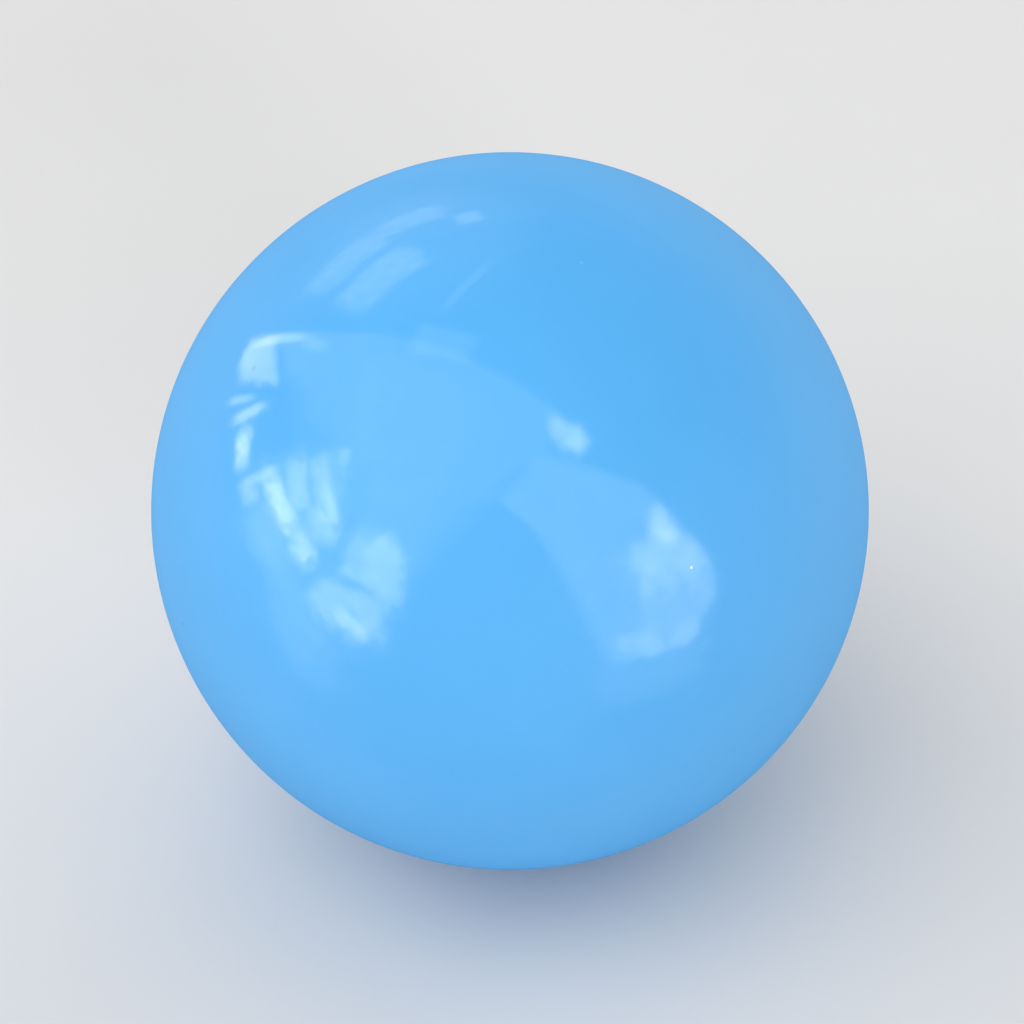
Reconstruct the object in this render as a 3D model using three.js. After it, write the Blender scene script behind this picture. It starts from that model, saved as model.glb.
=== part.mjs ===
// Rhythmic gymnastics ball: a hollow, soft vinyl ball with a push-in plug valve.
// Millimetres, +Z up. The origin is the centre of the ball, and the valve points along +Y.
import * as THREE from "three";

// Ball
const BALL_DIAMETER = 185; // senior size
const WALL = 3.2; // brings the ball to about 400 g

// Valve seat, a firmer bush that is fused into the ball
const BORE_DIAMETER = 6.4; // takes the plug, or a pump's nozzle
const BORE_CHAMFER = 0.5;
const SEAT_WALL = 1.7;
const SEAT_LENGTH = 15; // from the landing under the plug's head to the inner end
const RIM_WIDTH = 2.2; // flat ring that shows around the plug's head
const RIM_THICKNESS = 1.2; // under the landing
const LANDING_DEPTH = 0.5; // the head lands in a recess of the rim

// Valve plug, a stopper that is pushed in by hand
const HEAD_OVERHANG = 2.6; // how far the head reaches past the bore
const HEAD_THICKNESS = 1.4;
const HEAD_EDGE = 0.4; // radius of the head's upper edge
const HEAD_SINK = 0.3; // how far the head's edge lies below the ball's surface
const PLUG_LENGTH = 17; // from the underside of the head to the tip
const PLUG_ROOF = 5; // solid length from the head's face to the end of the hollow
const HOLLOW_DIAMETER = 2; // lets the tail squeeze in
const RING_COUNT = 3; // sealing rings
const RING_LENGTH = 1.8;
const RING_HEIGHT = 0.5;
const TIP_LENGTH = 3.5; // tapered lead-in
const TIP_WALL = 0.7; // left around the hollow at the tip

// Shape of the ball's wall around the valve
const DISH_SLOPE = 3.5; // width of the soft side between the rim and the ball's surface
const PAD_BLEND = 5; // width over which the thick pad behind the dish runs out into the wall
const NECK_SETBACK = 1.5; // how far the neck stops short of the seat's inner end

// Clearances
const BOND_GAP = 0.1; // between the seat and the ball
const HEAD_GAP = 0.3; // between the plug's head and the side of its landing
const PLUG_GAP = 0.1; // between the plug's rings and the bore

// Facets
const BALL_SEGMENTS = 60;
const VALVE_SEGMENTS = 32;
const OUTER_STEPS = 15; // from a pole to the equator, outside
const INNER_STEPS = 11; // from a pole to the equator, inside
const BLEND_STEPS = 5;
const EDGE_STEPS = 3;

// Distances from the valve's axis that follow from these
const ballRadius = BALL_DIAMETER / 2;
const cavityRadius = ballRadius - WALL;
const boreRadius = BORE_DIAMETER / 2;
const headRadius = boreRadius + HEAD_OVERHANG;
const landingRadius = headRadius + HEAD_GAP;
const rimRadius = landingRadius + RIM_WIDTH;
const tubeRadius = boreRadius + SEAT_WALL;
const pocketRadius = rimRadius + BOND_GAP;
const socketRadius = tubeRadius + BOND_GAP;
const neckRadius = socketRadius + WALL;
const dishRadius = pocketRadius + DISH_SLOPE;
const padRadius = Math.max(neckRadius, dishRadius) + PAD_BLEND;

// Heights along the valve's axis that follow from these
const landing = sphereHeight(ballRadius, headRadius) - HEAD_SINK - HEAD_THICKNESS;
const rimFace = landing + LANDING_DEPTH;
const pocketFloor = landing - RIM_THICKNESS;
const padFace = pocketFloor - WALL;
const neckEnd = landing - SEAT_LENGTH + NECK_SETBACK;

// Height of a sphere's surface above its centre, at a distance from the axis.
function sphereHeight(radius, distance) {
  return Math.sqrt(radius ** 2 - distance ** 2);
}

function point(distance, height) {
  return new THREE.Vector2(distance, height);
}

// The points of an arc that rises from one angle to another.
function arc(centre, radius, from, to, steps) {
  return new THREE.EllipseCurve(centre.x, centre.y, radius, radius, from, to).getPoints(steps);
}

// A sphere's outline from its lower pole by way of the equator to a distance from the axis above.
function sphereOutline(radius, distance, steps) {
  const centre = point(0, 0);
  const end = Math.acos(distance / radius);
  return [
    point(0, -radius),
    ...arc(centre, radius, -Math.PI / 2, 0, steps).slice(1),
    ...arc(centre, radius, 0, end, steps).slice(1),
  ];
}

// An outline that leaves a flat at an inner distance and runs out smoothly into a sphere.
function blendOutline(flat, inner, outer, radius) {
  const outline = [];
  for (let i = 0; i <= BLEND_STEPS; i++) {
    const distance = THREE.MathUtils.lerp(inner, outer, i / BLEND_STEPS);
    const share = THREE.MathUtils.smoothstep(distance, inner, outer);
    const height = THREE.MathUtils.lerp(flat, sphereHeight(radius, distance), share);
    outline.push(point(distance, height));
  }
  return outline;
}

// The wall: outside, dish, pocket and socket for the seat, neck, pad and inside.
function ballShell() {
  const outside = sphereOutline(ballRadius, dishRadius, OUTER_STEPS);
  const dish = blendOutline(rimFace, pocketRadius, dishRadius, ballRadius);
  const pad = blendOutline(padFace, neckRadius, padRadius, cavityRadius);
  const inside = sphereOutline(cavityRadius, padRadius, INNER_STEPS);
  const outline = [
    ...outside,
    ...dish.reverse().slice(1),
    point(pocketRadius, pocketFloor),
    point(socketRadius, pocketFloor),
    point(socketRadius, neckEnd),
    point(neckRadius, neckEnd),
    ...pad,
    ...inside.reverse().slice(1),
  ];
  return new THREE.LatheGeometry(outline, BALL_SEGMENTS);
}

// A flanged bush. Heights are measured from the landing.
function valveSeat() {
  const outline = [
    point(boreRadius, -BORE_CHAMFER),
    point(boreRadius, -SEAT_LENGTH),
    point(tubeRadius, -SEAT_LENGTH),
    point(tubeRadius, -RIM_THICKNESS),
    point(rimRadius, -RIM_THICKNESS),
    point(rimRadius, LANDING_DEPTH),
    point(landingRadius, LANDING_DEPTH),
    point(landingRadius, 0),
    point(boreRadius + BORE_CHAMFER, 0),
    point(boreRadius, -BORE_CHAMFER),
  ];
  return new THREE.LatheGeometry(outline, VALVE_SEGMENTS);
}

// A stopper. Heights are measured from the landing, and each ring is a barb that slopes to the tip.
function valvePlug() {
  const ringRadius = boreRadius - PLUG_GAP;
  const shankRadius = ringRadius - RING_HEIGHT;
  const hollowRadius = HOLLOW_DIAMETER / 2;
  const hollowEnd = HEAD_THICKNESS - PLUG_ROOF;
  const ringPitch = (PLUG_LENGTH - TIP_LENGTH) / RING_COUNT;
  const edgeCentre = point(headRadius - HEAD_EDGE, HEAD_THICKNESS - HEAD_EDGE);
  const rings = [];
  for (let i = RING_COUNT; i > 0; i--) {
    const start = -i * ringPitch;
    rings.push(point(shankRadius, start));
    rings.push(point(ringRadius, start + RING_LENGTH));
    rings.push(point(shankRadius, start + RING_LENGTH));
  }
  const outline = [
    point(0, hollowEnd),
    point(hollowRadius, hollowEnd),
    point(hollowRadius, -PLUG_LENGTH),
    point(hollowRadius + TIP_WALL, -PLUG_LENGTH),
    ...rings,
    point(shankRadius, 0),
    point(headRadius, 0),
    ...arc(edgeCentre, HEAD_EDGE, 0, Math.PI / 2, EDGE_STEPS),
    point(0, HEAD_THICKNESS),
  ];
  return new THREE.LatheGeometry(outline, VALVE_SEGMENTS);
}

function piece(name, geometry, color, roughness) {
  const material = new THREE.MeshStandardMaterial({ color, roughness, metalness: 0 });
  const mesh = new THREE.Mesh(geometry, material);
  mesh.name = name;
  return mesh;
}

const valve = new THREE.Group();
valve.position.y = landing;
valve.add(piece("valve_seat", valveSeat(), 0xdfe9ee, 0.4));
valve.add(piece("valve_plug", valvePlug(), 0xf3f3ee, 0.45));

const ball = new THREE.Group();
ball.add(piece("ball_shell", ballShell(), 0x63b5f6, 0.16));
ball.add(valve);

export default ball;
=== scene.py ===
import math

import bmesh
import bpy
from mathutils import Matrix, Vector, noise

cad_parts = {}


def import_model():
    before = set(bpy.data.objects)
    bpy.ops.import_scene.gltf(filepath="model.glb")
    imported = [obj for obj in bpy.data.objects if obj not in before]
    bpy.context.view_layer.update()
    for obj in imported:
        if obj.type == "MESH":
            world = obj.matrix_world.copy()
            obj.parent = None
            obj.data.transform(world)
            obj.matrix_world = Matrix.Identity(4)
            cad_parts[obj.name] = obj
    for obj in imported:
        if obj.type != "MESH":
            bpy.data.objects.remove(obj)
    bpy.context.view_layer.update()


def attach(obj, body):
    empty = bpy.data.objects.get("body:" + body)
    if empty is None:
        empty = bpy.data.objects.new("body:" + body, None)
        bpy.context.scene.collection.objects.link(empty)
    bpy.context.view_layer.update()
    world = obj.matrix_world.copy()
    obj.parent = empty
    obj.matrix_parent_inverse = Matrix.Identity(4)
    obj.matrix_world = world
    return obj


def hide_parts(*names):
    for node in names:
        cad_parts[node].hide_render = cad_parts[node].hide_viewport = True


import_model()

MM = 0.001

# Sizes of the ball and its valve in millimetres, the same as in the part's source
BALL_RADIUS = 92.5
WALL = 3.2
BORE_RADIUS = 3.2
BORE_CHAMFER = 0.5
SEAT_LENGTH = 15.0
RIM_THICKNESS = 1.2
LANDING_DEPTH = 0.5
HEAD_RADIUS = 5.8
HEAD_THICKNESS = 1.4
HEAD_EDGE = 0.4
HEAD_SINK = 0.3
LANDING_RADIUS = 6.1
RIM_RADIUS = 8.3
TUBE_RADIUS = 4.9
POCKET_RADIUS = 8.4
SOCKET_RADIUS = 5.0
NECK_RADIUS = 8.2
DISH_RADIUS = 11.9
PAD_RADIUS = 16.9
NECK_SETBACK = 1.5
PLUG_LENGTH = 17.0
PLUG_ROOF = 5.0
HOLLOW_RADIUS = 1.0
RING_COUNT = 3
RING_LENGTH = 1.8
RING_RADIUS = 3.1
SHANK_RADIUS = 2.6
TIP_LENGTH = 3.5
TIP_RADIUS = 1.7

# What follows from these. All but the first are heights along the valve's axis.
CAVITY_RADIUS = BALL_RADIUS - WALL
LANDING = math.sqrt(BALL_RADIUS**2 - HEAD_RADIUS**2) - HEAD_SINK - HEAD_THICKNESS
RIM_FACE = LANDING + LANDING_DEPTH
POCKET_FLOOR = LANDING - RIM_THICKNESS
PAD_FACE = POCKET_FLOOR - WALL
NECK_END = LANDING - SEAT_LENGTH + NECK_SETBACK

# Radii of the edges and fillets of the ball's wall, in millimetres, which only the look needs
POCKET_EDGE = 0.25
POCKET_FILLET = 0.3
NECK_INNER_EDGE = 0.4
NECK_OUTER_EDGE = 0.8
NECK_FILLET = 1.2

# Those of the seat
SEAT_END_EDGE = 0.35
FLANGE_EDGE = 0.2
RIM_EDGE = 0.25
LANDING_EDGE = 0.15
CHAMFER_EDGE = 0.2

# Those of the plug
HOLLOW_FILLET = 0.4
HOLLOW_EDGE = 0.2
TIP_EDGE = 0.25
RING_FOOT = 0.3
RING_EDGE = 0.12
RING_FILLET = 0.1
SHANK_FILLET = 0.3
HEAD_LOWER_EDGE = 0.15
DIMPLE_EDGE = 0.15
DIMPLE_FILLET = 0.1

# A dimple in the plug's head, in millimetres
DIMPLE_RADIUS = 1.3
DIMPLE_FLOOR_RADIUS = 1.0
DIMPLE_DEPTH = 0.25

# The mould's slight waviness, in millimetres
WAVES = ((30.0, 0.045), (13.0, 0.012))  # wavelength and height
WAVES_START = DISH_RADIUS  # distance from the valve's axis where the waves begin
WAVES_FULL = 2 * DISH_RADIUS  # and where they have their full height

# Fineness of the meshes
GRID = 64  # cells along each side of the six-sided grid that covers the ball
VALVE_SEGMENTS = 128
CORNER_STEPS = 4
DISH_STEPS = 16
DISH_CUT = 2  # steps of the dish that the pocket's rounded edge takes up
PAD_STEPS = 10
PAD_CUT = 3  # steps of the pad that the neck's fillet takes up
SHEET_RINGS = 6
FLOOR_SEGMENTS = 96

# Colours
SKIN_DEEP = (0.090, 0.41, 0.83, 1)
SKIN_PALE = (0.097, 0.425, 0.855, 1)
SKIN_PIGMENT = (0.15, 0.52, 0.92, 1)
SKIN_SPECK = (0.03, 0.16, 0.33, 1)
SEAT_DEEP = (0.70, 0.77, 0.81, 1)
SEAT_PALE = (0.78, 0.85, 0.89, 1)
PLUG_DEEP = (0.87, 0.87, 0.82, 1)
PLUG_PALE = (0.92, 0.92, 0.88, 1)
FLOOR_DEEP = (0.705, 0.705, 0.705, 1)
FLOOR_PALE = (0.72, 0.72, 0.72, 1)

# The ball's vinyl, in millimetres. A range is the part of a noise that counts.
NOISE_RANGE = (0.3, 0.7)
CLOUD_SIZE = 46.0
PIGMENT_SIZE = 0.8
PIGMENT_RANGE = (0.35, 0.75)
PIGMENT_STRENGTH = 0.06
SPECK_SPACING = 38.0
SPECK_EDGE = (0.007, 0.013)  # where a speck begins and ends to fade, in shares of the spacing
SPECK_BLANKS = 0.45  # share of the places that have no speck
SPECK_STRENGTH = 0.5
FLECK_AND_GLINT_CORE = 0.5  # share of a fleck's or the painted glint's radius that doesn't fade
DARK_FLECK = (253, 368)  # the pixels where the flecks and the painted glint show
PALE_FLECK = (581, 262)
# A painted highlight: this white spot is a lamp's glint put into the colour, not a fleck.
PAINTED_GLINT = (691, 567)
FLECKS_AND_PAINTED_GLINT = (
    # pixel, radius, strength, colour
    (DARK_FLECK, 0.9, 0.5, (0.04, 0.22, 0.42, 1)),
    (PALE_FLECK, 0.6, 0.15, (0.50, 0.75, 0.95, 1)),
    (PAINTED_GLINT, 0.45, 0.8, (0.90, 0.95, 0.97, 1)),
)
HAZE_SIZE = 70.0
HAZE_RANGE = (0.35, 0.7)
HAZE_ROUGHNESS = 0.025  # what a full haze adds
SKIN_ROUGHNESS = 0.065
PEEL_SIZE = 1.6
PEEL_DEPTH = 0.004
SKIN_IOR = 1.38
FULL_GLOSS = 0.5
FADE_COSINE = 0.5  # of the angle of view at which the gloss begins to fade towards the limb
FADE_POWER = 4.0

# The valve's firmer vinyl, in the same way
FIRM_CLOUD_SIZE = 5.0
FIRM_HAZE_SIZE = 1.5
FIRM_HAZE_ROUGHNESS = 0.12
FIRM_GRAIN_SIZE = 0.35
FIRM_GRAIN_DEPTH = 0.008
FIRM_IOR = 1.5
SEAT_ROUGHNESS = 0.34
PLUG_ROUGHNESS = 0.36

# The floor
FLOOR_RADIUS = 6.0
FLOOR_CLOUD_SIZE = 300.0

# The camera, which looks down at the ball from the front
CAMERA_ELEVATION = 35.0
CAMERA_DISTANCE = 0.6298
CAMERA_LENS = 85.0
CAMERA_SENSOR = 36.0
CAMERA_SHIFT = (0.00195, -0.00100)
CAMERA_CLIP = (0.01, 50.0)
FRAME_SIZE = 1024  # pixels along each side of the photograph's frame, from its upper left corner

# The room is as pale as the floor at the horizon and darker overhead, and soft lamps light it.
ROOM_HORIZON = 0.775
ROOM_ZENITH = 0.2
ROOM_TOP = 0.95  # sine of the elevation above which it gets no darker
LAMP_DISTANCE = 2.0
LAMPS = (
    # name, azimuth, elevation, spread in degrees, irradiance
    ("key", -38, 47, 60, 1.12),
    ("side", -100, 30, 50, 0.6),
    ("fill", 18, 10, 20, 0.80),
    ("top", 150, 70, 90, 1.05),
    ("back", 145, 8, 12, 0.5),
)

# What the gloss shows: sheets of any outline, and small oblong cards. Both fade out at their edges.
# They are placed by the pixels where their mirror images show on the ball.
WANDER_SIZE = 70.0  # of the noise that bends a sheet's border, in millimetres at a distance of 1 m
WANDER_RANGE = (0.35, 0.65)
WANDER_REACH = 4.0
PATCH_SIZE = 90.0  # of the noise that makes a sheet's glow uneven, in the same way
PATCH_RANGE = (0.36, 0.64)
CARD_WOBBLES = 2  # grains of the noise that bends a card's edges, along its shorter side
CARD_PATCHES = 3  # and of the noise that makes its glow uneven
SHEETS = (
    # name, distance, radiance, width of the border in degrees, unevenness, then the pixels where its
    # corners show, with a third number where the border has a width of its own
    ("left_pane", 1.30, 1.35, 3.0, 0.10, (275, 334), (340, 333), (417, 339), (480, 364), (545, 401),
     (575, 425), (545, 455, 5), (492, 497, 8), (450, 535, 12), (405, 585, 12), (362, 575, 12),
     (345, 500, 16), (318, 440, 20), (300, 395, 16), (285, 352, 8)),
    ("left_glow", 1.30, 0.50, 14.0, 0.10, (360, 360), (420, 365), (465, 392), (478, 432), (452, 480),
     (410, 525), (375, 520), (352, 460), (345, 400)),
    ("right_pane", 0.48, 2.00, 3.5, 0.10, (498, 501, 6), (545, 453), (583, 464), (642, 486), (668, 509),
     (695, 545), (715, 573), (716, 598), (700, 627, 8), (665, 657, 12), (635, 667, 12), (606, 655, 9),
     (592, 634, 7), (568, 581, 5), (530, 525, 6)),
    ("upper_lobe", 0.50, 4.40, 6.0, 0.28, (344, 556), (347, 541), (356, 532), (369, 538), (390, 534),
     (398, 550), (403, 566), (404, 583), (398, 604, 4), (374, 594, 4), (352, 581, 4), (338, 570, 4)),
    ("lower_lobe", 0.50, 4.00, 6.0, 0.28, (320, 579, 4), (337, 580, 4), (357, 589, 4), (378, 600, 4),
     (393, 607, 4), (388, 621), (380, 636), (369, 642), (356, 643), (340, 632), (316, 616), (308, 597)),
    ("lobe_halo", 0.34, 1.00, 8.0, 0.30, (330, 545), (352, 528), (390, 530), (408, 565), (405, 600),
     (390, 640), (365, 660), (335, 655), (308, 632), (300, 600), (312, 570)),
    ("cluster_glow", 0.90, 2.10, 8.0, 0.30, (262, 462), (300, 452), (342, 455), (346, 500), (338, 535),
     (312, 566), (290, 556), (272, 520)),
    ("middle_patch", 1.20, 5.80, 5.0, 0.28, (547, 411), (560, 417), (575, 424), (587, 436), (586, 448),
     (576, 456), (562, 447), (553, 430)),
    ("cloud", 0.60, 4.80, 7.0, 0.22, (623, 561, 10), (634, 544, 9), (650, 533), (651, 512), (663, 506),
     (670, 526), (685, 538), (700, 552), (706, 566), (697, 577, 10), (674, 585, 12), (650, 591, 12),
     (635, 579, 10)),
    ("cloud_side", 0.44, 1.20, 8.0, 0.35, (697, 556), (713, 564), (717, 580), (715, 597), (708, 612),
     (697, 631), (686, 644), (664, 648), (636, 640), (632, 620), (640, 598), (668, 588), (695, 580)),
    ("cloud_foot_left", 0.42, 2.20, 4.0, 0.42, (613, 641), (631, 630), (652, 630), (659, 638),
     (656, 655), (645, 659), (627, 649)),
    ("cloud_foot_right", 0.44, 2.00, 4.0, 0.42, (672, 625), (685, 617), (695, 621), (696, 637),
     (682, 645), (671, 641)),
    ("cloud_haze", 0.26, 0.90, 8.0, 0.20, (600, 650), (620, 640), (680, 640), (710, 640), (700, 669),
     (670, 688), (623, 702), (593, 691)),
    ("upper_haze", 1.20, 0.50, 20.0, 0.10, (300, 300), (330, 250), (380, 210), (440, 190), (520, 210),
     (521, 254), (450, 300), (370, 320)),
    ("hook", 1.10, 4.20, 4.0, 0.16, (252, 340), (262, 335), (276, 337), (274, 352), (277, 372),
     (276, 384), (258, 384), (242, 380), (239, 368), (244, 352)),
)
CARDS = (
    # name, pixel where its middle shows, pixels from there to an end and to a side, distance,
    # radiance, softness, raggedness
    ("hook_bar", (281, 338), (33, -4), (1, 6), 1.1, 3.8, 0.6, 0.4),
    ("hook_end", (315, 344), (18, 5), (0, 10), 1.1, 1.8, 0.8, 0.3),
    ("stripe_top", (241, 399), (17, -3), (1, 5), 1.1, 3.5, 0.6, 0.5),
    ("stripe_upper", (249, 412), (23, -11), (3, 6), 1.1, 6.0, 0.7, 0.6),
    ("stripe_block", (242, 447), (11, -4), (4, 27), 1.1, 8.5, 0.8, 0.4),
    ("stripe_lower", (257, 476), (24, -12), (3, 6), 1.1, 5.0, 0.6, 0.6),
    ("stripe_foot", (249, 494), (11, -3), (3, 11), 1.1, 3.5, 0.6, 0.6),
    ("streak", (279, 503), (16, 37), (11, -5), 1.1, 9.5, 0.7, 0.6),
    ("streak_end", (302, 549), (12, 20), (13, -7), 1.1, 7.0, 0.7, 0.6),
    ("pane_left", (297, 485), (4, 32), (13, -1), 1.1, 4.5, 0.5, 0.5),
    ("pane_right", (322, 490), (6, 41), (11, -1), 1.1, 4.0, 0.5, 0.5),
    ("pane_core", (330, 500), (7, 28), (8, -2), 1.1, 4.5, 0.8, 0.5),
    ("pane_foot", (322, 526), (21, 5), (-5, 20), 1.1, 4.0, 0.6, 0.6),
    ("pane_dot", (344, 456), (7, 0), (0, 11), 1.1, 3.5, 0.5, 0.3),
    ("cluster_haze", (262, 535), (40, 18), (-15, 44), 1.1, 1.2, 0.9, 0.3),
    ("edge_haze_upper", (271, 540), (30, 99), (27, -12), 0.3, 1.3, 0.9, 0.2),
    ("edge_haze_lower", (297, 632), (39, 95), (28, -21), 0.22, 1.3, 0.9, 0.2),
    ("lobe_core", (350, 623), (23, 19), (-6, 7), 0.5, 4.0, 0.7, 0.4),
    ("cloud_horn", (660, 524), (13, 20), (13, -9), 0.9, 1.5, 0.6, 0.3),
    ("cloud_core", (667, 534), (20, 5), (-3, 10), 0.9, 3.0, 0.8, 0.3),
    ("patch_core", (578, 440), (12, 11), (-8, 12), 1.2, 4.0, 0.7, 0.2),
    ("upper_pane", (379, 277), (-46, 39), (12, 16), 1.2, 1.8, 0.5, 0.3),
    ("upper_pane_far", (345, 262), (-42, 38), (9, 11), 1.2, 1.0, 0.5, 0.4),
    ("top_pane", (410, 219), (-40, 15), (5, 8), 1.2, 0.9, 0.5, 0.4),
    ("top_dot", (468, 217), (-17, 4), (3, 7), 1.2, 1.4, 0.6, 0.1),
    ("top_line", (465, 285), (-34, 34), (4, 4), 1.2, 1.0, 0.6, 0.1),
    ("top_block", (443, 342), (35, 7), (-4, 17), 1.2, 1.2, 0.3, 0.1),
)


def direction(azimuth, elevation):
    """From the ball's centre. Azimuth 0 is to the front, and 90 to the camera's right."""
    a, e = math.radians(azimuth), math.radians(elevation)
    return Vector((math.sin(a) * math.cos(e), -math.cos(a) * math.cos(e), math.sin(e)))


def on_ball(pixel):
    """The point of the ball that the camera sees at a pixel, and the direction of that look."""
    back = direction(0, CAMERA_ELEVATION)
    right = Vector((1, 0, 0))
    scale = CAMERA_SENSOR / CAMERA_LENS
    across = ((pixel[0] + 0.5) / FRAME_SIZE - 0.5 + CAMERA_SHIFT[0]) * scale
    upward = (0.5 - (pixel[1] + 0.5) / FRAME_SIZE + CAMERA_SHIFT[1]) * scale
    look = (right * across + back.cross(right) * upward - back).normalized()
    eye = back * CAMERA_DISTANCE
    halfway = -eye.dot(look)
    depth = math.sqrt(halfway**2 + (BALL_RADIUS * MM) ** 2 - CAMERA_DISTANCE**2)
    return eye + look * (halfway - depth), look


def mirrored(pixel, distance):
    """The point, at a distance from the ball's centre, whose mirror image shows at a pixel."""
    spot, look = on_ball(pixel)
    way = look.reflect(spot.normalized())
    outward = spot.dot(way)
    reach = math.sqrt(outward**2 + distance**2 - spot.length_squared)
    return spot + way * (reach - outward)


def sphere_height(radius, distance):
    """Height of a sphere's surface above its centre, at a distance from the axis."""
    return math.sqrt(radius**2 - distance**2)


def smoothstep(low, high, x):
    t = min(max((x - low) / (high - low), 0.0), 1.0)
    return t * t * (3 - 2 * t)


def blend_outline(flat, inner, outer, radius, steps):
    """A profile that leaves a flat at an inner distance and runs out smoothly into a sphere."""
    outline = []
    for i in range(steps + 1):
        distance = inner + (outer - inner) * i / steps
        share = smoothstep(inner, outer, distance)
        height = flat + (sphere_height(radius, distance) - flat) * share
        outline.append((distance, height))
    return outline


def rounded(corners, closed):
    """A profile whose corners, each (distance, height, radius), are rounded."""
    outline = []
    count = len(corners)
    for i, (x, y, radius) in enumerate(corners):
        at_end = not closed and i in (0, count - 1)
        if radius == 0 or at_end:
            outline.append((x, y))
            continue
        corner = Vector((x, y))
        before = (Vector(corners[i - 1][:2]) - corner).normalized()
        after = (Vector(corners[(i + 1) % count][:2]) - corner).normalized()
        half = before.angle(after) / 2
        centre = corner + (before + after).normalized() * (radius / math.sin(half))
        start = corner + before * (radius / math.tan(half)) - centre
        end = corner + after * (radius / math.tan(half)) - centre
        for step in range(CORNER_STEPS + 1):
            spoke = start.slerp(end, step / CORNER_STEPS).normalized()
            outline.append(tuple(centre + spoke * radius))
    return outline


class Shell:
    """Vertices and faces that are added ring by ring around the valve's axis."""

    def __init__(self):
        self.verts = []
        self.faces = []

    def vertex(self, point):
        self.verts.append(tuple(point))
        return len(self.verts) - 1

    def ring(self, distance, height, angles):
        spots = [(distance * math.cos(a), height, distance * math.sin(a)) for a in angles]
        return [self.vertex(spot) for spot in spots]

    def join(self, first, second):
        for i in range(len(first)):
            j = (i + 1) % len(first)
            self.faces.append((first[i], first[j], second[j], second[i]))

    def cap(self, ring, height):
        centre = self.vertex((0, height, 0))
        for i in range(len(ring)):
            self.faces.append((ring[i], ring[(i + 1) % len(ring)], centre))

    def sphere(self, radius, edge):
        """A sphere on a six-sided grid, open around the valve.

        Returns the ring at its edge and the angles of that ring's vertices around the axis.
        """
        index = {}

        def at(*cell):
            if cell not in index:
                tangents = [math.tan((2 * c / GRID - 1) * math.pi / 4) for c in cell]
                index[cell] = self.vertex(Vector(tangents).normalized() * radius)
            return index[cell]

        for axis in range(3):
            for side in (0, GRID):
                if axis == 1 and side == GRID:
                    continue  # the valve's side, which is closed by rings
                for i in range(GRID):
                    for j in range(GRID):
                        quad = []
                        for u, v in ((i, j), (i + 1, j), (i + 1, j + 1), (i, j + 1)):
                            cell = [u, v]
                            cell.insert(axis, side)
                            quad.append(at(*cell))
                        self.faces.append(tuple(quad))
        rim = [(i, GRID, 0) for i in range(GRID)]
        rim += [(GRID, GRID, i) for i in range(GRID)]
        rim += [(GRID - i, GRID, GRID) for i in range(GRID)]
        rim += [(0, GRID, GRID - i) for i in range(GRID)]
        ring = [at(*cell) for cell in rim]
        outer = [Vector(self.verts[v]) for v in ring]
        angles = [math.atan2(p.z, p.x) for p in outer]
        edge_angle = math.asin(edge / radius)
        steps = GRID // 2
        for step in range(1, steps + 1):
            following = []
            for point, around in zip(outer, angles):
                start = math.acos(point.y / radius)
                polar = start + (edge_angle - start) * step / steps
                away = radius * math.sin(polar)
                spot = (away * math.cos(around), radius * math.cos(polar), away * math.sin(around))
                following.append(self.vertex(spot))
            self.join(ring, following)
            ring = following
        return ring, angles


def piece(name, shell, material, body, node):
    """A closed, smooth mesh that stands for a CAD node and moves with a body."""
    mesh = bpy.data.meshes.new(name)
    mesh.from_pydata([Vector(v) * MM for v in shell.verts], [], shell.faces)
    edit = bmesh.new()
    edit.from_mesh(mesh)
    bmesh.ops.recalc_face_normals(edit, faces=edit.faces)
    for face in edit.faces:
        face.smooth = True
    edit.to_mesh(mesh)
    edit.free()
    mesh.materials.append(material)
    obj = bpy.data.objects.new(name, mesh)
    bpy.context.scene.collection.objects.link(obj)
    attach(obj, body)
    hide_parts(node)


def ball_skin(material):
    """The ball's wall, with the dish for the valve, the neck behind it and the inside."""
    shell = Shell()
    outer_edge, _ = shell.sphere(BALL_RADIUS, DISH_RADIUS)
    for i, spot in enumerate(shell.verts):
        point = Vector(spot)
        fade = smoothstep(WAVES_START, WAVES_FULL, math.hypot(point.x, point.z))
        if point.y < 0:
            fade = 1.0
        sink = 0.0
        for wavelength, height in WAVES:
            sink += height * (1 + noise.noise(point / wavelength)) / 2
        shell.verts[i] = tuple(point * (1 - fade * sink / BALL_RADIUS))
    inner_edge, angles = shell.sphere(CAVITY_RADIUS, PAD_RADIUS)
    dish = blend_outline(RIM_FACE, POCKET_RADIUS, DISH_RADIUS, BALL_RADIUS, DISH_STEPS)[DISH_CUT:]
    dish.reverse()
    pad = blend_outline(PAD_FACE, NECK_RADIUS, PAD_RADIUS, CAVITY_RADIUS, PAD_STEPS)[PAD_CUT:]
    middle = rounded(
        [
            (*dish[-1], 0),
            (POCKET_RADIUS, RIM_FACE, POCKET_EDGE),
            (POCKET_RADIUS, POCKET_FLOOR, POCKET_FILLET),
            (SOCKET_RADIUS, POCKET_FLOOR, POCKET_FILLET),
            (SOCKET_RADIUS, NECK_END, NECK_INNER_EDGE),
            (NECK_RADIUS, NECK_END, NECK_OUTER_EDGE),
            (NECK_RADIUS, PAD_FACE, NECK_FILLET),
            (*pad[0], 0),
        ],
        closed=False,
    )
    ring = outer_edge
    for distance, height in dish[1:-1] + middle + pad[1:-1]:
        following = shell.ring(distance, height, angles)
        shell.join(ring, following)
        ring = following
    shell.join(ring, inner_edge)
    piece("ball_skin", shell, material, "ball", "ball_shell")


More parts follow.
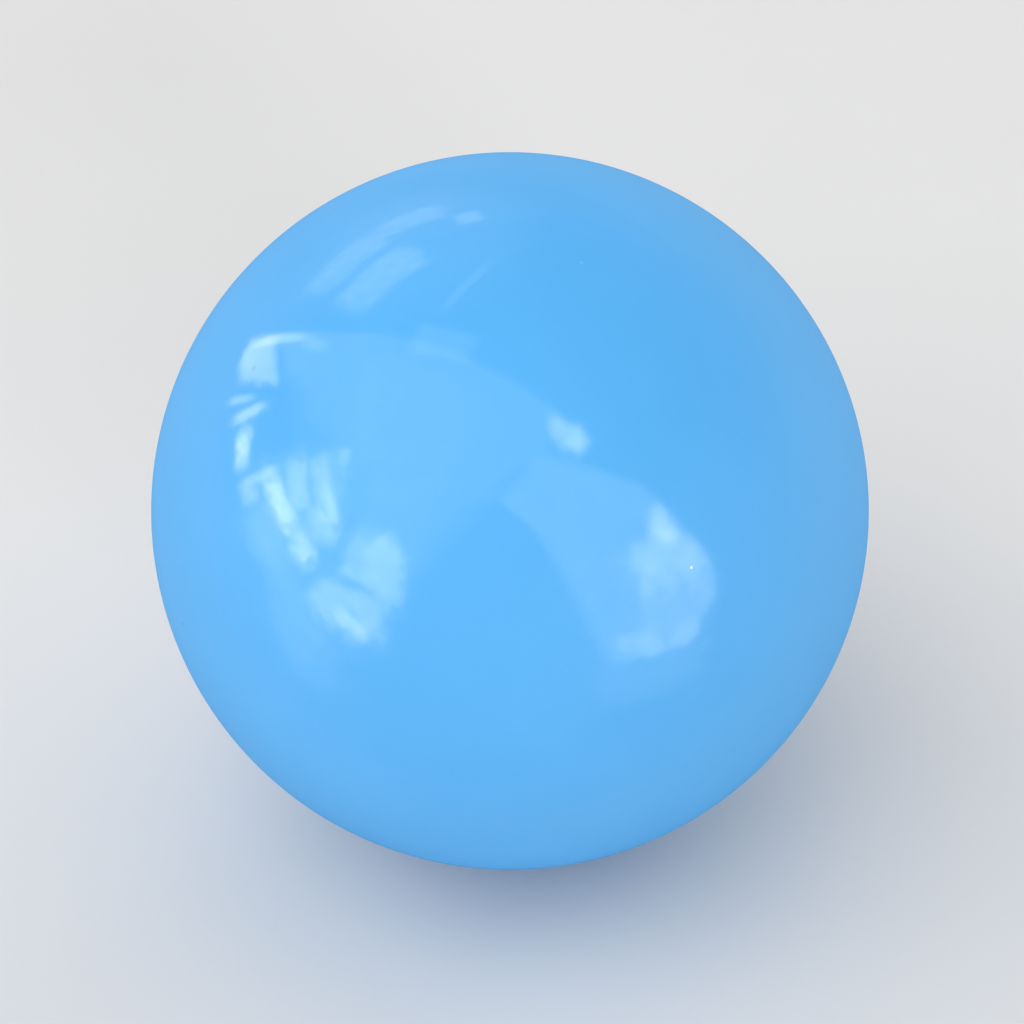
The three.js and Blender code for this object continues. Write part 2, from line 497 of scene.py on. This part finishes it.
def revolved(outline, closed):
    """A solid of revolution about the valve's axis, its heights measured from the landing."""
    shell = Shell()
    angles = [2 * math.pi * i / VALVE_SEGMENTS for i in range(VALVE_SEGMENTS)]
    rings = [shell.ring(x, LANDING + y, angles) for x, y in outline if x > 0]
    for first, second in zip(rings, rings[1:]):
        shell.join(first, second)
    if closed:
        shell.join(rings[-1], rings[0])
    else:
        shell.cap(rings[0], LANDING + outline[0][1])
        shell.cap(rings[-1], LANDING + outline[-1][1])
    return shell


def seat_bush(material):
    """The flanged bush that the plug sits in."""
    outline = rounded(
        [
            (BORE_RADIUS, -SEAT_LENGTH, SEAT_END_EDGE),
            (TUBE_RADIUS, -SEAT_LENGTH, SEAT_END_EDGE),
            (TUBE_RADIUS, -RIM_THICKNESS, FLANGE_EDGE),
            (RIM_RADIUS, -RIM_THICKNESS, FLANGE_EDGE),
            (RIM_RADIUS, LANDING_DEPTH, RIM_EDGE),
            (LANDING_RADIUS, LANDING_DEPTH, LANDING_EDGE),
            (LANDING_RADIUS, 0.0, LANDING_EDGE),
            (BORE_RADIUS + BORE_CHAMFER, 0.0, CHAMFER_EDGE),
            (BORE_RADIUS, -BORE_CHAMFER, CHAMFER_EDGE),
        ],
        closed=True,
    )
    shell = revolved(outline, closed=True)
    piece("seat_bush", shell, material, "ball", "valve_seat")


def plug_stopper(material):
    """The stopper, with its sealing rings, its hollow tail and a dimple in its head."""
    hollow_end = HEAD_THICKNESS - PLUG_ROOF
    dimple_floor = HEAD_THICKNESS - DIMPLE_DEPTH
    pitch = (PLUG_LENGTH - TIP_LENGTH) / RING_COUNT
    rings = []
    for i in range(RING_COUNT, 0, -1):
        start = -i * pitch
        rings.append((SHANK_RADIUS, start, RING_FOOT))
        rings.append((RING_RADIUS, start + RING_LENGTH, RING_EDGE))
        rings.append((SHANK_RADIUS, start + RING_LENGTH, RING_FILLET))
    outline = rounded(
        [
            (0.0, hollow_end, 0),
            (HOLLOW_RADIUS, hollow_end, HOLLOW_FILLET),
            (HOLLOW_RADIUS, -PLUG_LENGTH, HOLLOW_EDGE),
            (TIP_RADIUS, -PLUG_LENGTH, TIP_EDGE),
            *rings,
            (SHANK_RADIUS, 0.0, SHANK_FILLET),
            (HEAD_RADIUS, 0.0, HEAD_LOWER_EDGE),
            (HEAD_RADIUS, HEAD_THICKNESS, HEAD_EDGE),
            (DIMPLE_RADIUS, HEAD_THICKNESS, DIMPLE_EDGE),
            (DIMPLE_FLOOR_RADIUS, dimple_floor, DIMPLE_FILLET),
            (0.0, dimple_floor, 0),
        ],
        closed=False,
    )
    shell = revolved(outline, closed=False)
    piece("plug_stopper", shell, material, "plug", "valve_plug")


class Nodes:
    """The node tree of a material or world, filled by short calls."""

    def __init__(self, owner, place="Object"):
        owner.use_nodes = True
        self.owner = owner
        self.tree = owner.node_tree
        self.tree.nodes.clear()
        self.place = self.node("ShaderNodeTexCoord").outputs[place]

    def node(self, kind, inputs=None, **settings):
        """A node, whose inputs are sockets to link or values to set."""
        made = self.tree.nodes.new(kind)
        for key, value in settings.items():
            setattr(made, key, value)
        for key, value in (inputs or {}).items():
            if isinstance(value, bpy.types.NodeSocket):
                self.tree.links.new(value, made.inputs[key])
            else:
                made.inputs[key].default_value = value
        return made

    def noise(self, size, detail=2.0, roughness=0.5, place=None, output="Fac"):
        """Noise with grains of a size in millimetres, from 0 to 1."""
        inputs = {"Scale": 1 / (size * MM), "Detail": detail, "Roughness": roughness}
        inputs["Vector"] = place or self.place
        return self.node("ShaderNodeTexNoise", inputs).outputs[output]

    def ramp(self, value, low, high, to_low=0.0, to_high=1.0):
        """Runs smoothly from to_low to to_high while the value goes from low to high."""
        inputs = {"Value": value, "From Min": low, "From Max": high}
        inputs.update({"To Min": to_low, "To Max": to_high})
        made = self.node("ShaderNodeMapRange", inputs, interpolation_type="SMOOTHSTEP")
        return made.outputs["Result"]

    def math(self, operation, *values):
        inputs = dict(enumerate(values))
        return self.node("ShaderNodeMath", inputs, operation=operation).outputs["Value"]

    def vector(self, operation, *values):
        inputs = dict(enumerate(values))
        return self.node("ShaderNodeVectorMath", inputs, operation=operation).outputs["Vector"]

    def parts(self, vector):
        return self.node("ShaderNodeSeparateXYZ", {"Vector": vector}).outputs

    def mix(self, share, first, second):
        """A mix of colours, by the numbers of the node's sockets for them."""
        inputs = {0: share, 6: first, 7: second}
        return self.node("ShaderNodeMix", inputs, data_type="RGBA").outputs[2]

    def bump(self, height, depth):
        """A normal that follows a height of 0 to 1, with a depth in millimetres."""
        inputs = {"Height": height, "Strength": 1.0, "Distance": depth * MM}
        return self.node("ShaderNodeBump", inputs).outputs["Normal"]

    def surface(self, inputs):
        shader = self.node("ShaderNodeBsdfPrincipled", inputs)
        self.node("ShaderNodeOutputMaterial", {"Surface": shader.outputs["BSDF"]})
        return self.owner


def skin_vinyl():
    """Glossy, soft vinyl. Its gloss fades towards the limb, alike from every side."""
    n = Nodes(bpy.data.materials.new("skin_vinyl"))
    clouds = n.ramp(n.noise(CLOUD_SIZE, detail=3.0), *NOISE_RANGE)
    colour = n.mix(clouds, SKIN_DEEP, SKIN_PALE)
    pigment = n.ramp(n.noise(PIGMENT_SIZE), *PIGMENT_RANGE, to_high=PIGMENT_STRENGTH)
    colour = n.mix(pigment, colour, SKIN_PIGMENT)
    scale = 1 / (SPECK_SPACING * MM)
    cells = n.node("ShaderNodeTexVoronoi", {"Vector": n.place, "Scale": scale})
    grain = n.ramp(cells.outputs["Distance"], *SPECK_EDGE, 1.0, 0.0)
    lottery = n.node("ShaderNodeSeparateColor", {"Color": cells.outputs["Color"]}).outputs["Red"]
    speck = n.math("MULTIPLY", grain, n.math("GREATER_THAN", lottery, SPECK_BLANKS))
    colour = n.mix(n.math("MULTIPLY", speck, SPECK_STRENGTH), colour, SKIN_SPECK)
    # The white spot among these is a painted glint, a highlight put into the colour.
    for pixel, radius, strength, shade in FLECKS_AND_PAINTED_GLINT:
        spot, _ = on_ball(pixel)
        away = n.node("ShaderNodeVectorMath", {0: n.place, 1: spot}, operation="DISTANCE")
        edge = radius * MM
        share = n.ramp(away.outputs["Value"], FLECK_AND_GLINT_CORE * edge, edge, strength, 0.0)
        colour = n.mix(share, colour, shade)
    haze = n.ramp(n.noise(HAZE_SIZE, detail=4.0, roughness=0.6), *HAZE_RANGE)
    roughness = n.math("MULTIPLY_ADD", haze, HAZE_ROUGHNESS, SKIN_ROUGHNESS)
    peel = n.bump(n.noise(PEEL_SIZE, detail=1.0), PEEL_DEPTH)
    # At this blend, Facing is 1 minus the cosine of the angle of view.
    facing = n.node("ShaderNodeLayerWeight", {"Blend": 0.5}).outputs["Facing"]
    fade = n.math("POWER", n.math("SUBTRACT", 1.0, facing), FADE_POWER)
    gloss = n.math("MULTIPLY", fade, FULL_GLOSS / FADE_COSINE**FADE_POWER)
    gloss = n.math("MINIMUM", gloss, FULL_GLOSS)
    inputs = {"Base Color": colour, "Roughness": roughness, "Normal": peel, "IOR": SKIN_IOR}
    return n.surface({**inputs, "Specular IOR Level": gloss})


def firm_vinyl(name, pale, deep, smoothest):
    """Satin, firmer vinyl, with a roughness that starts from its smoothest."""
    n = Nodes(bpy.data.materials.new(name))
    clouds = n.ramp(n.noise(FIRM_CLOUD_SIZE, detail=3.0), *NOISE_RANGE)
    colour = n.mix(clouds, deep, pale)
    haze = n.noise(FIRM_HAZE_SIZE, detail=3.0)
    roughness = n.math("MULTIPLY_ADD", haze, FIRM_HAZE_ROUGHNESS, smoothest)
    grain = n.bump(n.noise(FIRM_GRAIN_SIZE), FIRM_GRAIN_DEPTH)
    inputs = {"Base Color": colour, "Roughness": roughness, "Normal": grain, "IOR": FIRM_IOR}
    return n.surface(inputs)


def floor():
    """A plain, matt, pale floor under the ball."""
    n = Nodes(bpy.data.materials.new("floor"))
    shade = n.ramp(n.noise(FLOOR_CLOUD_SIZE), *NOISE_RANGE)
    colour = n.mix(shade, FLOOR_DEEP, FLOOR_PALE)
    material = n.surface({"Base Color": colour, "Roughness": 1.0, "Specular IOR Level": 0.0})
    mesh = bpy.data.meshes.new("floor")
    edit = bmesh.new()
    bmesh.ops.create_circle(edit, cap_ends=True, segments=FLOOR_SEGMENTS, radius=FLOOR_RADIUS)
    edit.to_mesh(mesh)
    edit.free()
    mesh.materials.append(material)
    obj = bpy.data.objects.new("floor", mesh)
    obj.location.z = -BALL_RADIUS * MM
    bpy.context.scene.collection.objects.link(obj)


def turned_to_ball(spot, along, height):
    """The matrix of a panel or lamp that faces the ball, with its first axis along a vector."""
    out = spot.normalized()
    across = out.cross(along).normalized() * height
    return Matrix.Translation(spot) @ Matrix((along, across, out)).transposed().to_4x4()


def lamp(name, azimuth, elevation, spread, irradiance):
    """A wide, far lamp that the gloss doesn't show."""
    light = bpy.data.lights.new(name, "SUN")
    light.angle = math.radians(spread)
    light.energy = irradiance
    obj = bpy.data.objects.new(name, light)
    spot = direction(azimuth, elevation) * LAMP_DISTANCE
    level = Vector((0, 0, 1)).cross(spot).normalized()
    obj.matrix_world = turned_to_ball(spot, level, 1)
    obj.visible_glossy = False
    bpy.context.scene.collection.objects.link(obj)


def glowing(n, strength):
    """The material of a clear panel that glows."""
    light = n.node("ShaderNodeEmission", {"Strength": strength})
    clear = n.node("ShaderNodeBsdfTransparent")
    both = n.node("ShaderNodeAddShader", {0: light.outputs["Emission"], 1: clear.outputs["BSDF"]})
    n.node("ShaderNodeOutputMaterial", {"Surface": both.outputs["Shader"]})
    return n.owner


def reflected(name, verts, faces, material):
    """A mesh that only the gloss shows."""
    mesh = bpy.data.meshes.new(name)
    mesh.from_pydata(verts, [], faces)
    mesh.materials.append(material)
    obj = bpy.data.objects.new(name, mesh)
    obj.visible_camera = False
    obj.visible_diffuse = False
    obj.visible_shadow = False
    bpy.context.scene.collection.objects.link(obj)
    return obj


def sheet_light(name, distance, radiance, unevenness):
    """A glow that grows across a sheet's border, while its share goes from 0 to 1."""
    n = Nodes(bpy.data.materials.new(name))
    share = n.node("ShaderNodeAttribute", attribute_name="share").outputs["Fac"]
    border = n.math("MULTIPLY", share, n.math("SUBTRACT", 1.0, share))
    bends = n.noise(WANDER_SIZE * distance, detail=4.0, roughness=0.6)
    reach = WANDER_REACH * unevenness
    wander = n.ramp(bends, *WANDER_RANGE, -reach, reach)
    spots = n.noise(PATCH_SIZE * distance, detail=5.0, roughness=0.65)
    patches = n.ramp(spots, *PATCH_RANGE, 1 - unevenness, 1 + unevenness)
    glow = n.ramp(n.math("MULTIPLY_ADD", wander, border, share), 0, 1, to_high=radiance)
    return glowing(n, n.math("MULTIPLY", glow, patches))


def sheet(name, distance, radiance, edge, unevenness, *corners):
    """A curved sheet around the ball, whose border runs from clear, outside, to a full glow."""
    outline = [mirrored(corner, distance).normalized() for corner in corners]
    centre = sum(outline, Vector()).normalized()
    rings = [[] for _ in range(SHEET_RINGS)]
    for corner, (_, _, *own) in zip(outline, corners):
        shift = math.radians(own[0] if own else edge) / 2
        inward = (centre - corner * corner.dot(centre)).normalized()
        rings[0].append((corner - inward * shift).normalized() * distance)
        inner = (corner + inward * shift).normalized()
        for i in range(1, SHEET_RINGS):
            step = (i - 1) / (SHEET_RINGS - 1)
            rings[i].append(inner.slerp(centre, step).normalized() * distance)
    count = len(outline)
    verts = [spot for ring in rings for spot in ring]
    faces = []
    for start in range(0, len(verts), count):
        for i in range(count):
            j = (i + 1) % count
            if start + count < len(verts):
                faces.append((start + i, start + j, start + count + j, start + count + i))
            else:
                faces.append((start + i, start + j, len(verts)))
    verts.append(centre * distance)
    obj = reflected(name, verts, faces, sheet_light(name, distance, radiance, unevenness))
    shares = obj.data.attributes.new("share", "FLOAT", "POINT")
    shares.data.foreach_set("value", [0.0] * count + [1.0] * (len(verts) - count))


def card_light(name, width, height, radiance, softness, raggedness):
    """A glow that fades out towards the card's edges."""
    n = Nodes(bpy.data.materials.new(name))
    spot = n.vector("MULTIPLY", n.place, (width, height, 0))
    size = min(width, height) / MM
    wobble = n.noise(size / CARD_WOBBLES, place=spot, output="Color")
    reach = 2 * raggedness
    start = n.vector("SUBTRACT", n.place, (raggedness, raggedness, 0))
    across, up, _ = n.parts(n.vector("MULTIPLY_ADD", wobble, (reach, reach, 0), start))
    patches = n.noise(size / CARD_PATCHES, place=spot)
    dimmest, brightest = radiance * (1 - raggedness), radiance * (1 + raggedness)
    glow = n.ramp(patches, *NOISE_RANGE, dimmest, brightest)
    for side in (across, up):
        edge = n.ramp(n.math("ABSOLUTE", side), 1 - softness, 1, 1, 0)
        glow = n.math("MULTIPLY", glow, edge)
    return glowing(n, glow)


def card(name, middle, to_end, to_side, distance, *glow):
    """A flat, oblong panel that faces the ball."""

    def span(step):
        """From one edge to the other, for the pixels from the middle to an edge."""
        ends = [(middle[0] + s * step[0], middle[1] + s * step[1]) for s in (-1, 1)]
        first, second = [mirrored(end, distance) for end in ends]
        return second - first

    spot = mirrored(middle, distance)
    along = span(to_end)
    along -= along.project(spot)
    across = spot.cross(along).normalized()
    width = along.length
    height = abs(span(to_side).dot(across))
    square = [(-1, -1, 0), (1, -1, 0), (1, 1, 0), (-1, 1, 0)]
    obj = reflected(name, square, [(0, 1, 2, 3)], card_light(name, width, height, *glow))
    obj.matrix_world = turned_to_ball(spot, along / 2, height / 2)


def world():
    room = bpy.data.worlds.new("room")
    n = Nodes(room, "Generated")
    _, _, up = n.parts(n.place)
    light = n.ramp(up, 0.0, ROOM_TOP, ROOM_HORIZON, ROOM_ZENITH)
    background = n.node("ShaderNodeBackground", {"Color": (1, 1, 1, 1), "Strength": light})
    n.node("ShaderNodeOutputWorld", {"Surface": background.outputs["Background"]})
    bpy.context.scene.world = room


def camera():
    data = bpy.data.cameras.new("camera")
    data.lens = CAMERA_LENS
    data.sensor_width = CAMERA_SENSOR
    data.shift_x, data.shift_y = CAMERA_SHIFT
    data.clip_start, data.clip_end = CAMERA_CLIP
    obj = bpy.data.objects.new("camera", data)
    back = direction(0, CAMERA_ELEVATION)
    obj.location = back * CAMERA_DISTANCE
    obj.rotation_mode = "QUATERNION"
    obj.rotation_quaternion = (-back).to_track_quat("-Z", "Y")
    bpy.context.scene.collection.objects.link(obj)
    bpy.context.scene.camera = obj


ball_skin(skin_vinyl())
seat_bush(firm_vinyl("bush_vinyl", SEAT_PALE, SEAT_DEEP, SEAT_ROUGHNESS))
plug_stopper(firm_vinyl("stopper_vinyl", PLUG_PALE, PLUG_DEEP, PLUG_ROUGHNESS))

floor()
for row in LAMPS:
    lamp(*row)
for row in SHEETS:
    sheet(*row)
for row in CARDS:
    card(*row)
world()
camera()
bpy.context.scene.view_settings.view_transform = "Standard"
